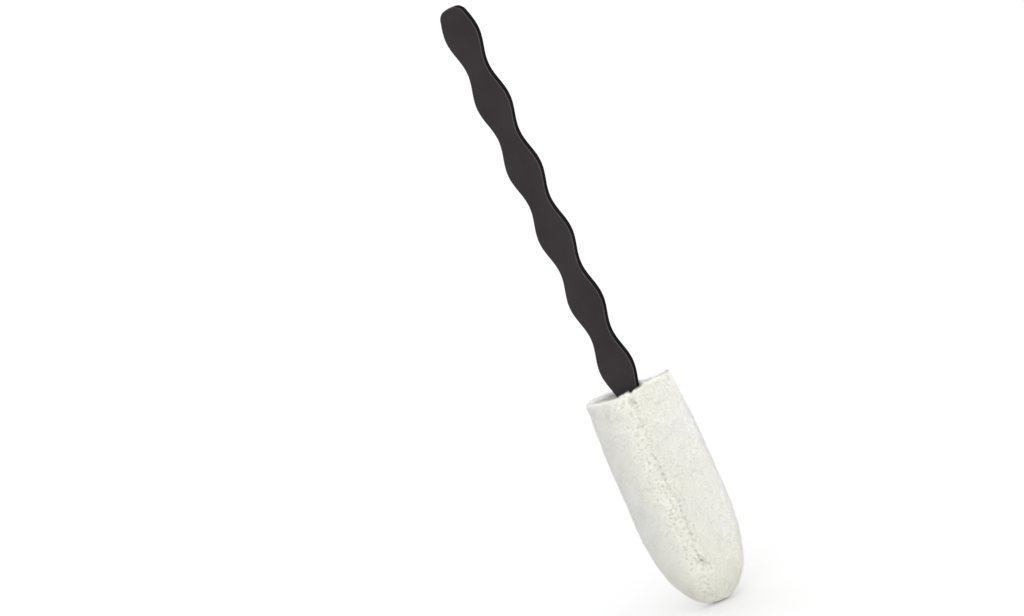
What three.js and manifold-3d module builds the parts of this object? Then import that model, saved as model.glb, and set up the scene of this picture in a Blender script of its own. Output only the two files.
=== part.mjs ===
// Wheel brush: a flat, wavy plastic blade for a handle, pushed into a padded fleece sleeve.
// Millimetres. +Z runs up the handle, X is the blade's width, and the front faces -Y.
// The origin is at the middle of the sleeve's closed tip, the lowest point of the brush.
import * as THREE from 'three';
import { mergeVertices } from 'three/addons/utils/BufferGeometryUtils.js';
import Module from 'manifold-3d';

const wasm = await Module();
wasm.setup();

// ---------------------------------------------------------------- driving dimensions
const TOTAL_LENGTH = 324;        // sleeve tip to butt end
const SLEEVE_LENGTH = 116.5;     // closed tip to open mouth
const SLEEVE_WIDTH = 50.4;       // over the pile, at the middle
const SLEEVE_THICKNESS = 23;     // over the pile, at the middle
const MOUTH_WIDTH = 46;
const MOUTH_THICKNESS = 19;
const NECK_START = 76;           // from here up the sleeve narrows to its mouth
const TIP_LENGTH = 44;           // the stretch over which the width rounds off
const TIP_NOSE = 30;             // the stretch over which the thickness rounds off
const FLEECE_WALL = 3.5;         // backing and pile together
const SECTION_POWER = 2.2;       // 2 is an ellipse, more is boxier

const BLADE_LENGTH = 300;
const BLADE_THICKNESS = 5.5;
const BLADE_HALF_WIDTH = 6.93;   // mean of bulge and waist
const WAVE_HEIGHT = 1.575;       // how far bulges and waists leave the mean
const WAVE_LENGTH = 36.05;
const WAVE_CREST = 129.4;        // height of one bulge above the tip
const BLADE_BEVEL = 0.45;
const BUTT_CORNER = 4;           // corner radius of the butt end
const TOE_CORNER = 6.2;          // corner radius of the end inside the sleeve

const GAP = 0.3;                 // room kept between pieces that touch
const PAD_TOP = 110;             // the foam stops short of the mouth
const PAD_BOTTOM = 11;
const SLOT_HALF = 3.4;           // half the slot between the pads, for the blade
const PAD_EDGE = 0.8;            // the foam's thickness where it is skived off at the sides

const SEAM_X = 1.5;              // the front seam lies a little off the middle
const SEAM_LOW = 28;
const SEAM_HIGH = 108.5;
const SEAM_GROOVE = 1.3;         // radius of the groove that the stitches pull in
const SEAM_STITCHES = 27;
const THREAD = 0.6;              // thread diameter
const THREAD_DEPTH = 0.5;        // the seam thread's middle, below the fleece's surface
const THREAD_RIPPLE = 0.15;      // how far each stitch rises and dips
const TACK_WIDTH = 4.6;
const TACK_LENGTH = 3.6;
const TACK_THREAD = 0.4;
const TACK_DEPTH = 0.75;         // the tack's thread, below the fleece's surface
const TIP_TACK_Z = 24.5;
const MOUTH_TACK_Z = 111.5;
const PIT_DEPTH = 2.1;           // how deep a tack pulls the fleece in
const PIT_MARGIN = 1.3;          // the pit reaches this far past its tack
const NOTCH_DEPTH = 2.2;
const NOTCH_WIDTH = 3.4;

// ---------------------------------------------------------------- small helpers
const mix = (a, b, t) => a + (b - a) * t;
const clamp01 = (t) => Math.min(1, Math.max(0, t));
const smooth = (t) => clamp01(t) ** 2 * (3 - 2 * clamp01(t));

// A closed surface through a list of rings of equal size. Its two ends are a point or a flat cap.
function loft(rings, startPoint, endPoint) {
  const around = rings[0].length;
  const points = [...rings.flat(), startPoint, endPoint];
  const first = points.length - 2;
  const last = points.length - 1;
  const faces = [];
  const topRing = (rings.length - 1) * around;
  for (let k = 0; k < around; k += 1) {
    const next = (k + 1) % around;
    for (let r = 0; r < rings.length - 1; r += 1) {
      const a = r * around;
      const b = a + around;
      faces.push(a + k, a + next, b + next, a + k, b + next, b + k);
    }
    faces.push(first, next, k);
    faces.push(last, topRing + k, topRing + next);
  }
  const geometry = new THREE.BufferGeometry();
  geometry.setAttribute('position', new THREE.Float32BufferAttribute(points.flat(), 3));
  geometry.setIndex(faces);
  return geometry;
}

// A tube of constant diameter along a smooth path.
function tube(path, diameter, steps) {
  const sides = 6;
  const section = new THREE.Shape();
  for (let k = 0; k < sides; k += 1) {
    const turn = (2 * Math.PI * k) / sides;
    const x = (diameter / 2) * Math.cos(turn);
    const y = (diameter / 2) * Math.sin(turn);
    if (k === 0) section.moveTo(x, y);
    else section.lineTo(x, y);
  }
  return new THREE.ExtrudeGeometry(section, { steps, bevelEnabled: false, extrudePath: path });
}

function toSolid(geometry) {
  const bare = geometry.clone();
  bare.deleteAttribute('normal');
  bare.deleteAttribute('uv');
  const merged = mergeVertices(bare, 1e-4);
  const vertProperties = new Float32Array(merged.attributes.position.array);
  const triVerts = new Uint32Array(merged.index.array);
  return new wasm.Manifold(new wasm.Mesh({ numProp: 3, vertProperties, triVerts }));
}

function toGeometry(solid) {
  const mesh = solid.getMesh();
  const geometry = new THREE.BufferGeometry();
  geometry.setAttribute('position', new THREE.Float32BufferAttribute(mesh.vertProperties, 3));
  geometry.setIndex(Array.from(mesh.triVerts));
  return geometry;
}

// ---------------------------------------------------------------- the sleeve's outer form
// 0 on the body, rising to 1 at the mouth.
const neck = (z) => smooth((z - NECK_START) / (SLEEVE_LENGTH - NECK_START));

// Half the width at a height, with the surface moved in by a wall.
function halfWidth(z, wall = 0) {
  const body = mix(SLEEVE_WIDTH, MOUTH_WIDTH, neck(z)) / 2;
  const round = clamp01((TIP_LENGTH - z) / (TIP_LENGTH - wall));
  return (body - wall) * Math.sqrt(1 - round ** 2);
}

// Half the thickness at a height, with the surface moved in by a wall.
function halfThickness(z, wall = 0) {
  const body = mix(SLEEVE_THICKNESS, MOUTH_THICKNESS, neck(z)) / 2;
  const round = clamp01((TIP_NOSE - z) / (TIP_NOSE - wall));
  return (body - wall) * Math.sqrt(1 - round ** 2);
}

// Distance of the front or back surface from the middle plane, at a place across and up.
function surfaceY(x, z, wall = 0) {
  const across = Math.min(1, Math.abs(x) / halfWidth(z, wall));
  return halfThickness(z, wall) * (1 - across ** SECTION_POWER) ** (1 / SECTION_POWER);
}

function sleeveRing(z, wall) {
  const around = 48;
  const ring = [];
  for (let k = 0; k < around; k += 1) {
    const turn = (2 * Math.PI * k) / around;
    const c = Math.cos(turn);
    const s = Math.sin(turn);
    const x = Math.sign(c) * halfWidth(z, wall) * Math.abs(c) ** (2 / SECTION_POWER);
    const y = Math.sign(s) * halfThickness(z, wall) * Math.abs(s) ** (2 / SECTION_POWER);
    ring.push([x, y, z]);
  }
  return ring;
}

// Heights of the rings: close together in the round tip, even along the body.
function sleeveHeights(wall) {
  const tipRings = 12;
  const bodyRings = 9;
  const heights = [];
  for (let k = 1; k <= tipRings; k += 1) {
    const turn = (k / tipRings) * (Math.PI / 2);
    heights.push(TIP_LENGTH - (TIP_LENGTH - wall) * Math.cos(turn));
  }
  for (let k = 1; k <= bodyRings; k += 1) {
    heights.push(mix(TIP_LENGTH, SLEEVE_LENGTH, k / bodyRings));
  }
  return heights;
}

// ---------------------------------------------------------------- fleece cover
// Where the front seam runs, at a depth below the surface, rising and dipping at each stitch.
function seamPath(depth, ripple, points) {
  const path = [];
  for (let k = 0; k < points; k += 1) {
    const z = mix(SEAM_LOW, SEAM_HIGH, k / (points - 1));
    const dip = depth + (k % 2 === 0 ? ripple : -ripple);
    path.push(new THREE.Vector3(SEAM_X, -surfaceY(SEAM_X, z) + dip, z));
  }
  return new THREE.CatmullRomCurve3(path);
}

// The soft pit that a tack pulls into the front, a flattened ball on the surface.
function tackPit(z) {
  const pit = new THREE.SphereGeometry(1, 16, 10);
  pit.scale(TACK_WIDTH / 2 + PIT_MARGIN, PIT_DEPTH, TACK_LENGTH / 2 + PIT_MARGIN);
  pit.translate(SEAM_X, -surfaceY(SEAM_X, z), z);
  return toSolid(pit);
}

function fleeceCover() {
  const outer = sleeveHeights(0).map((z) => sleeveRing(z, 0));
  const inner = sleeveHeights(FLEECE_WALL).map((z) => sleeveRing(z, FLEECE_WALL));
  const shell = loft([...outer, ...inner.reverse()], [0, 0, 0], [0, 0, FLEECE_WALL]);
  const groove = tube(seamPath(0, 0, 12), 2 * SEAM_GROOVE, 20);
  const notchShape = new THREE.Shape();
  notchShape.moveTo(SEAM_X - NOTCH_WIDTH / 2, SLEEVE_LENGTH + 1);
  notchShape.lineTo(SEAM_X, SLEEVE_LENGTH - NOTCH_DEPTH);
  notchShape.lineTo(SEAM_X + NOTCH_WIDTH / 2, SLEEVE_LENGTH + 1);
  const notch = new THREE.ExtrudeGeometry(notchShape, { depth: MOUTH_THICKNESS, bevelEnabled: false });
  notch.rotateX(Math.PI / 2);
  const cover = toSolid(shell)
    .subtract(toSolid(groove))
    .subtract(tackPit(TIP_TACK_Z))
    .subtract(tackPit(MOUTH_TACK_Z))
    .subtract(toSolid(notch));
  return toGeometry(cover);
}

// ---------------------------------------------------------------- foam pads
// A sheet of foam between the blade's slot and the fleece, on the side that the sign says.
function foamPad(sign) {
  const wall = FLEECE_WALL + GAP;
  const rows = 14;
  const across = 12;
  const rings = [];
  for (let r = 0; r <= rows; r += 1) {
    const z = mix(PAD_BOTTOM, PAD_TOP, (r / rows) ** 1.25);
    const thinnest = ((SLOT_HALF + PAD_EDGE) / halfThickness(z, wall)) ** SECTION_POWER;
    const edge = halfWidth(z, wall) * (1 - Math.min(1, thinnest)) ** (1 / SECTION_POWER);
    const ring = [];
    for (let k = 0; k <= across; k += 1) {
      const x = mix(-edge, edge, k / across);
      ring.push([x, sign * surfaceY(x, z, wall), z]);
    }
    for (let k = across; k >= 0; k -= 1) {
      ring.push([mix(-edge, edge, k / across), sign * SLOT_HALF, z]);
    }
    rings.push(sign > 0 ? ring.reverse() : ring);
  }
  const middle = (z) => [0, sign * (SLOT_HALF + halfThickness(z, wall)) / 2, z];
  return loft(rings, middle(PAD_BOTTOM), middle(PAD_TOP));
}

// ---------------------------------------------------------------- threads
// A close zigzag of thread across the seam, lying in its pit.
function tack(z) {
  const passes = 7;
  const points = [];
  for (let k = 0; k <= passes; k += 1) {
    const side = k % 2 === 0 ? -1 : 1;
    const x = SEAM_X + (side * TACK_WIDTH) / 2;
    const height = z + TACK_LENGTH * (k / passes - 0.5);
    points.push(new THREE.Vector3(x, -surfaceY(x, z) + TACK_DEPTH, height));
  }
  return tube(new THREE.CatmullRomCurve3(points), TACK_THREAD, passes * 6);
}

// The stitches down the middle of the front, lying in their groove.
function centreSeamThread() {
  const path = seamPath(THREAD_DEPTH, THREAD_RIPPLE, 2 * SEAM_STITCHES + 1);
  return tube(path, THREAD, 4 * SEAM_STITCHES);
}

// The stitches inside the edge that close the round tip.
function endSeamThread() {
  const reach = TIP_LENGTH - FLEECE_WALL - 1;
  const stitches = 22;
  const points = [];
  for (let k = 0; k <= stitches * 2; k += 1) {
    const turn = mix(-1.35, 1.35, k / (stitches * 2));
    const x = (halfWidth(TIP_LENGTH, FLEECE_WALL) - 1) * Math.sin(turn);
    const side = k % 2 === 0 ? -1 : 1;
    points.push(new THREE.Vector3(x, side * 0.6, TIP_LENGTH - reach * Math.cos(turn)));
  }
  return tube(new THREE.CatmullRomCurve3(points), THREAD, stitches * 4);
}

// ---------------------------------------------------------------- handle
// Half the blade's width at a height: a wave, rounded off at both ends.
function bladeHalfWidth(z) {
  const wave = BLADE_HALF_WIDTH + WAVE_HEIGHT * Math.cos((2 * Math.PI * (z - WAVE_CREST)) / WAVE_LENGTH);
  const cornerCut = (fromEnd, radius) => {
    const into = clamp01((radius - fromEnd) / radius);
    return radius * (1 - Math.sqrt(1 - into ** 2));
  };
  const toe = TOTAL_LENGTH - BLADE_LENGTH;
  return wave - Math.max(cornerCut(TOTAL_LENGTH - z, BUTT_CORNER), cornerCut(z - toe, TOE_CORNER));
}

// Heights along the blade: even, and close together in the round corners.
function bladeHeights() {
  const toe = TOTAL_LENGTH - BLADE_LENGTH;
  const corner = [0, 0.04, 0.13, 0.27, 0.46, 0.71];
  const heights = corner.map((share) => toe + share * TOE_CORNER);
  const low = toe + TOE_CORNER;
  const high = TOTAL_LENGTH - BUTT_CORNER;
  const steps = 96;
  for (let k = 0; k <= steps; k += 1) heights.push(mix(low, high, k / steps));
  corner.reverse().forEach((share) => heights.push(TOTAL_LENGTH - share * BUTT_CORNER));
  return heights;
}

function handleBlade() {
  const half = BLADE_THICKNESS / 2;
  const rings = bladeHeights().map((z) => {
    const atEnd = z === TOTAL_LENGTH || z === TOTAL_LENGTH - BLADE_LENGTH;
    const w = bladeHalfWidth(z) - (atEnd ? BLADE_BEVEL : 0);
    const t = half - (atEnd ? BLADE_BEVEL : 0);
    const c = BLADE_BEVEL;
    const corners = [
      [w, -t + c], [w, t - c], [w - c, t], [-w + c, t],
      [-w, t - c], [-w, -t + c], [-w + c, -t], [w - c, -t],
    ];
    return corners.map(([x, y]) => [x, y, z]);
  });
  return loft(rings, [0, 0, TOTAL_LENGTH - BLADE_LENGTH], [0, 0, TOTAL_LENGTH]);
}

// ---------------------------------------------------------------- the scene graph
const material = (color, roughness) => new THREE.MeshStandardMaterial({ color, roughness, metalness: 0 });
const plastic = material(0x37333a, 0.55);
const fleece = material(0xebeae1, 0.95);
const foam = material(0x5f5e5c, 0.95);
const thread = material(0xd8d8cc, 0.8);

const brush = new THREE.Group();
const add = (name, geometry, look) => {
  const mesh = new THREE.Mesh(geometry, look);
  mesh.name = name;
  brush.add(mesh);
};

add('handle_blade', handleBlade(), plastic);
add('fleece_cover', fleeceCover(), fleece);
add('foam_pad_front', foamPad(-1), foam);
add('foam_pad_back', foamPad(1), foam);
add('centre_seam_thread', centreSeamThread(), thread);
add('seam_tip_tack', tack(TIP_TACK_Z), thread);
add('seam_mouth_tack', tack(MOUTH_TACK_Z), thread);
add('end_seam_thread', endSeamThread(), thread);

export default brush;
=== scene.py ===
import math

import bpy
import numpy as np
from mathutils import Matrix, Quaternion, Vector


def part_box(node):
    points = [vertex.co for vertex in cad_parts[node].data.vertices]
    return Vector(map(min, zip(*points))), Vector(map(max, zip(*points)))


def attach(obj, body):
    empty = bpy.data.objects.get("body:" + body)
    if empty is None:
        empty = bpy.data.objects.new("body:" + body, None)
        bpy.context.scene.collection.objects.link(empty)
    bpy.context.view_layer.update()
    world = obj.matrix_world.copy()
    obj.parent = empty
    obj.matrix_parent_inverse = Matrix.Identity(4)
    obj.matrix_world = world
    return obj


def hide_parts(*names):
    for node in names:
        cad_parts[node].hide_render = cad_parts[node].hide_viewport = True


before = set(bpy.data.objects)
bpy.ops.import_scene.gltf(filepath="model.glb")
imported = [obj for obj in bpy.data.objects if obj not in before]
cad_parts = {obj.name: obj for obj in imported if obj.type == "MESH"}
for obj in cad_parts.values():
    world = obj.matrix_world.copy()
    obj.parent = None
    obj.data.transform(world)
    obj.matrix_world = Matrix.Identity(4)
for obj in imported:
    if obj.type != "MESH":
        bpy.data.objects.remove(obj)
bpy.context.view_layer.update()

# ------------------------------------------------------------------ sizes, from the frame
_, COVER_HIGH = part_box("fleece_cover")
BLADE_LOW, BLADE_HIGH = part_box("handle_blade")
SEAM_LOW, SEAM_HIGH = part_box("centre_seam_thread")
TIP_TACK_LOW, TIP_TACK_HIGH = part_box("seam_tip_tack")
MOUTH_TACK_LOW, MOUTH_TACK_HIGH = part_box("seam_mouth_tack")

MM = 0.001
MOUTH_Z = COVER_HIGH.z
HALF_WIDTH = COVER_HIGH.x
HALF_THICKNESS = COVER_HIGH.y
SEAM_X = (SEAM_LOW.x + SEAM_HIGH.x) / 2

# ------------------------------------------------------------------ the sleeve's form
MOUTH_HALF_WIDTH = 24 * MM
MOUTH_HALF_THICKNESS = 9.5 * MM
NECK_START = 76 * MM       # from here up the sleeve narrows to its mouth
TIP_LENGTH = 52 * MM       # the stretch over which the width rounds off
TIP_FULLNESS = 2.2         # 2 would round it off as an ellipse, more is fuller
TIP_NOSE = 30 * MM         # the stretch over which the thickness rounds off
RING_POWER = 2.2           # the sleeve's section: 2 would be an ellipse, more is boxier
CORNER_CUT = 0.6           # how much lower that power is at the rim's +X corner
PINCH_LENGTH = 24 * MM     # the stretch below the rim over which its +X side closes
PINCH_LOSS = 0.45          # the share of its thickness that this side loses at the rim
OPEN_GAIN = 0.05           # the share that the -X side gains there
MOUTH_SHIFT = 0.8 * MM     # how far to +X the mouth lies
TIP_LEAN = 2.7 * MM        # how much further to -X the sleeve leans at its tip
LEAN_CURVE = 1.4           # 1 would lean it in a straight line
NECK_BEND = 0.5 * MM       # a bend to -X over a short stretch below the mouth
NECK_BEND_LENGTH = 15 * MM
RIM_REACH = 16 * MM        # the rim's unevenness fades out over this stretch below it
# How high the cut rim stands across the mouth, in mm: its level, bow and tilt, then a step: how
# high it is, where it starts and how long it is, the last two as shares of half the width.
FRONT_RIM = (-1.1, 1.2, 0.6, 3.2, 0.33, 0.11)
BACK_RIM = (-0.1, 0.4, 0.4, -1.2, 0.1, 0.3)
NOTCH_DEPTH = 0.9          # in mm, in the front of the rim, where the seam ends
NOTCH_ASIDE = 0.8 * MM     # how far to +X of the seam it lies
NOTCH_WIDTH = 1.3 * MM

# ------------------------------------------------------------------ the cover's mesh and cloth
ROWS, AROUND = 290, 300
COARSE_ROWS, COARSE_AROUND = 54, 60
OUTLINE_STEPS = 400        # along each part of the side's outline
QUARTER_STEPS = 180        # round a quarter of a section
NAP = 0.45 * MM            # the pile stands this far above the nap's middle
WALL = 2.35 * MM           # fleece, from the nap's middle to the inside
INNER_ROWS = 24
INNER_END = 14             # the inside ends this many rows short of the tip
RIM_ROWS = 10
ROLL = 1.1 * MM            # how high the rim's soft roll stands

PUFF_ROOM = 1.4 * MM       # how much flatter each side starts, so that it can swell
MOST_SWELL = 1.3 * MM
MOST_SINK = 0.4 * MM
MOST_SLIDE = 0.7 * MM
HELD_LOOSELY = 0.28        # how firmly the middle of the front and back is held, from 0 to 1
HELD_SIDES = 0.5           # how much more firmly the sides are
HELD_SEAM = 0.55
HELD_TIP_LENGTH = 14 * MM  # the hold grows to full over this last stretch
CREASE_BLURS = 3           # fleece is too thick to fold into the cloth's finest creases
CLOTH_SCALE = 10           # the solver is steadier on a larger bag
CLOTH_STEPS = 20
CLOTH_SETTINGS = {
    "quality": 6,
    "mass": 0.3,
    "tension_stiffness": 15,
    "compression_stiffness": 15,
    "shear_stiffness": 7.5,
    "bending_stiffness": 3,
    "shrink_min": -0.008,
    "use_pressure": True,
    "uniform_pressure_force": 8,
    "vertex_group_mass": "held",
}

# ------------------------------------------------------------------ nap and pile
WIDE_LUMP, SMALL_LUMP = 0.20, 0.06      # how high they are, in mm
CLUMP, FINE_CLUMP = 1.4 * MM, 0.9 * MM  # the spacing of the nap's clumps
CLUMP_HEIGHT, FINE_CLUMP_HEIGHT = 0.09 * MM, 0.06 * MM
CLUMP_WANDER = 0.22 * MM   # how far their grid is bent, so that it doesn't show
CLUMP_WANDER_WAVE = 0.9 * MM
PIT_SPACING, PIT_DEPTH = 1.9 * MM, 0.6 * MM
PILE_BANDS, PILE_COUNT = 7, 19800
FIBRE_SHORTEST, FIBRE_LONGEST = 0.7, 1.3  # in mm
FIBRE_RADIUS = 0.05 * MM
FIBRE_ROOT = 0.3 * MM      # how deep each fibre starts
TIP_WEAR = 7 * MM          # the pile is shorter over this last stretch

# ------------------------------------------------------------------ stitches
STITCHES = 27
PITCH = (SEAM_HIGH.z - SEAM_LOW.z) / STITCHES
SEAM_GROOVE, SEAM_GROOVE_WIDTH = 0.06 * MM, 2.6 * MM
STITCH_PIT, STITCH_PIT_WIDTH = 0.62 * MM, 0.9 * MM
TACK_PITS = (
    (TIP_TACK_LOW, TIP_TACK_HIGH, 0.95 * MM),
    (MOUTH_TACK_LOW, MOUTH_TACK_HIGH, 0.5 * MM),
)
TACK_PIT_WIDTH, TACK_PIT_HEIGHT = 1.5 * MM, 2.9 * MM
TACK_PASSES = 9
# The radius of a thread, the radius of each of its two strands and the length of one twist.
SEAM_THREAD, SEAM_STRAND, SEAM_TWIST = 0.30 * MM, 0.17 * MM, 1.5 * MM
TACK_THREAD, TACK_STRAND, TACK_TWIST = 0.24 * MM, 0.14 * MM, 1.4 * MM
END_STITCHES = 24
END_CENTRE = 49 * MM       # the height of the point that the closing seam curves round
END_SWEEP = 1.35           # how far it reaches to each side of the tip, in radians

# ------------------------------------------------------------------ foam pads
FOAM_ROWS, FOAM_ACROSS = 120, 46
FOAM_INSET = 4.1 * MM      # from the cover's outside to the foam
FOAM_WIDTH_SHARE = 0.86    # of the room inside the cover
FOAM_LEAST = 0.8 * MM
FOAM_GROOVE, FOAM_GROOVE_WIDTH = 1.5 * MM, 2.4 * MM  # where the front seam pulls it in
CORNER_EASE = 0.9 * MM     # how much thinner it is in the mouth's closed corner
FOAM_PORE, FOAM_PORE_DEPTH = 1.1 * MM, 0.224 * MM

# ------------------------------------------------------------------ blade
WAVE_LENGTH = 36.05 * MM
WAVE_CREST = 129.4 * MM    # the height of one of its bulges
WAVE_HEIGHT = 1.575 * MM
BUTT_RADIUS, TOE_RADIUS = 4 * MM, 6.2 * MM
ARRIS = 0.42 * MM          # the radius of its rounded edges
ARRIS_STEPS = 6
BLADE_ROWS, BLADE_END_ROWS = 330, 14
BLADE_ROW_GAP = 0.4 * MM   # from the rounded ends to the evenly spaced rows

# ------------------------------------------------------------------ view
VIEW_TURN, VIEW_RISE, VIEW_ROLL = 21, 8.6, 25.1  # in degrees
LENS, SENSOR = 135, 36
FIELD = 0.502              # how much the picture takes in across, at the brush
AIM_HEIGHT, AIM_LEFT = 0.178, 0.0344
FLOOR_HALF_SIZE = 30

rng = np.random.default_rng(11)


def smooth(t):
    """Eases from 0 to 1 as t goes from 0 to 1."""
    t = np.clip(t, 0, 1)
    return t * t * (3 - 2 * t)


def bell(distance, width):
    """1 at no distance, falling off to nothing."""
    return np.exp(-((distance / width) ** 2))


# ------------------------------------------------------------------ meshes from arrays
def new_piece(name, points, faces, body, *materials):
    """A smooth-shaded mesh object from a list of points and faces, riding on a CAD body."""
    mesh = bpy.data.meshes.new(name)
    mesh.from_pydata(np.asarray(points).tolist(), [], faces)
    mesh.shade_smooth()
    for look in materials:
        mesh.materials.append(look)
    piece = bpy.data.objects.new(name, mesh)
    bpy.context.scene.collection.objects.link(piece)
    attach(piece, body)
    return piece


def give(piece, name, values):
    """Stores one number for each point of the mesh, for its material to read."""
    attribute = piece.data.attributes.new(name, "FLOAT", "POINT")
    attribute.data.foreach_set("value", np.asarray(values, np.float32).ravel())


def loft_faces(rows, around):
    """Faces that join rings of equal size, then close both ends on two last points."""
    k = np.arange(around)
    after = (k + 1) % around
    faces = []
    for r in range(rows - 1):
        a, b = r * around, (r + 1) * around
        faces += np.stack([a + k, a + after, b + after, b + k], 1).tolist()
    first, last, top = rows * around, rows * around + 1, (rows - 1) * around
    faces += np.stack([np.full(around, first), after, k], 1).tolist()
    faces += np.stack([np.full(around, last), top + k, top + after], 1).tolist()
    return faces


def turned_over(faces):
    return [face[::-1] for face in faces]


def normals_of(grid):
    """Outward unit normals of a closed ring grid, by differences along and round it."""
    along = np.gradient(grid, axis=0)
    round_it = np.roll(grid, -1, 1) - np.roll(grid, 1, 1)
    n = np.cross(along, round_it)
    return n / np.maximum(np.linalg.norm(n, axis=2, keepdims=True), 1e-12)


def resample(field, rows, around):
    """A ring grid's field on a finer grid, by Catmull-Rom curves both ways."""

    def weights(t):
        return np.stack(
            [
                -0.5 * t + t**2 - 0.5 * t**3,
                1 - 2.5 * t**2 + 1.5 * t**3,
                0.5 * t + 2 * t**2 - 1.5 * t**3,
                -0.5 * t**2 + 0.5 * t**3,
            ]
        )

    count_v, count_u = field.shape[:2]
    v = np.linspace(0, count_v - 1, rows)
    u = np.arange(around) * count_u / around
    v0, u0 = np.floor(v).astype(int), np.floor(u).astype(int)
    wv, wu = weights(v - v0), weights(u - u0)
    out = sum(
        wv[k][:, None, None] * field[np.clip(v0 + k - 1, 0, count_v - 1)] for k in range(4)
    )
    return sum(wu[k][None, :, None] * out[:, (u0 + k - 1) % count_u] for k in range(4))


def cells(points, size, seed):
    """Distance to the nearest of many scattered seeds, about one to a cube of this size,
    as a share of the size, and that seed's place."""
    cube = np.floor(points / size).astype(np.int64)
    best = np.full(len(points), 9.0)
    place = np.zeros_like(points)
    for step in np.ndindex(3, 3, 3):
        c = cube + np.subtract(step, 1)
        mixed = (c[:, 0] * 73856093) ^ (c[:, 1] * 19349663) ^ (c[:, 2] * 83492791)
        mixed = mixed ^ (seed * 2654435)
        jitter = np.stack([((mixed * m) % 9973) / 9973 for m in (7919, 104729, 1299709)], 1)
        spot = (c + np.abs(jitter)) * size
        d = np.linalg.norm(points - spot, axis=1) / size
        nearer = d < best
        best[nearer] = d[nearer]
        place[nearer] = spot[nearer]
    return best, place


def running_length(*coordinates):
    """How far along a line each of its points lies."""
    steps = np.linalg.norm([np.diff(values) for values in coordinates], axis=0)
    return np.concatenate([[0], np.cumsum(steps)])


def path_sides(path):
    """Two directions square to a path and to each other, at each of its points."""
    way = np.gradient(path, axis=0)
    way /= np.linalg.norm(way, axis=1, keepdims=True)
    side = np.cross(way, np.where(np.abs(way[:, 1:2]) < 0.8, (0, 1, 0), (1, 0, 0)))
    side /= np.linalg.norm(side, axis=1, keepdims=True)
    return side, np.cross(side, way)


def tubes(paths, radius, sides=6):
    """Closed round tubes along several paths of equal length, as points and faces."""
    points, faces = [], []
    turn = np.arange(sides) * 2 * math.pi / sides
    for path in paths:
        side, up = path_sides(path)
        ring = (
            path[:, None]
            + radius * np.cos(turn)[None, :, None] * side[:, None]
            + radius * np.sin(turn)[None, :, None] * up[:, None]
        )
        base = len(points)
        points += [*ring.reshape(-1, 3), path[0], path[-1]]
        ends_out = turned_over(loft_faces(len(path), sides))
        faces += [[base + i for i in face] for face in ends_out]
    return np.array(points), faces


def twisted(path, radius, twist):
    """Two strands that wind round a path, as a sewing thread's do."""
    side, up = path_sides(path)
    length = running_length(*path.T)
    strands = []
    for start in (0, math.pi):
        a = (start + 2 * math.pi * length / twist)[:, None]
        strands.append(path + radius * 0.5 * (np.cos(a) * side + np.sin(a) * up))
    return strands


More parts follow.
